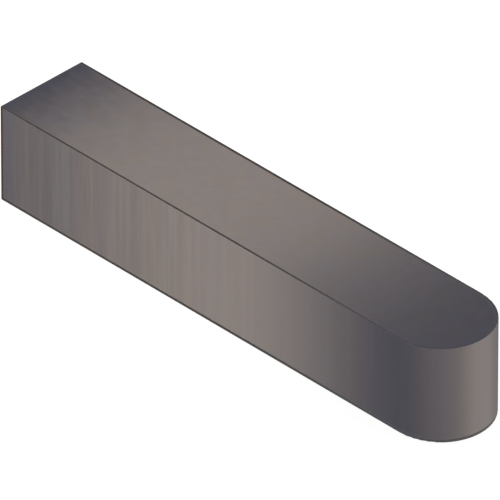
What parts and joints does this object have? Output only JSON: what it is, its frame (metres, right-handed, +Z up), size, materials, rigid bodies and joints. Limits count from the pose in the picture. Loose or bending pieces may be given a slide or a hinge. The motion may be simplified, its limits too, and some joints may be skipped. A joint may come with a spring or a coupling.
{
  "type": "machine key",
  "caption": "Parallel machine key of square section, cut flat at its near end and fully rounded at its far end, that locks a hub to a keyed shaft.",
  "frame": {"origin": "midway along the key's overall length, on the centre line of the bottom face, which rests on the keyway's floor", "axes": "+X along the key to its round end, +Z up out of the shaft's keyway, +Y to the left flank"},
  "size_m": [0.022, 0.004, 0.004],
  "materials": {
    "key_steel": "satin"
  },
  "bodies": {
    "root": {"machine_key": "key_steel"}
  },
  "joints": []
}
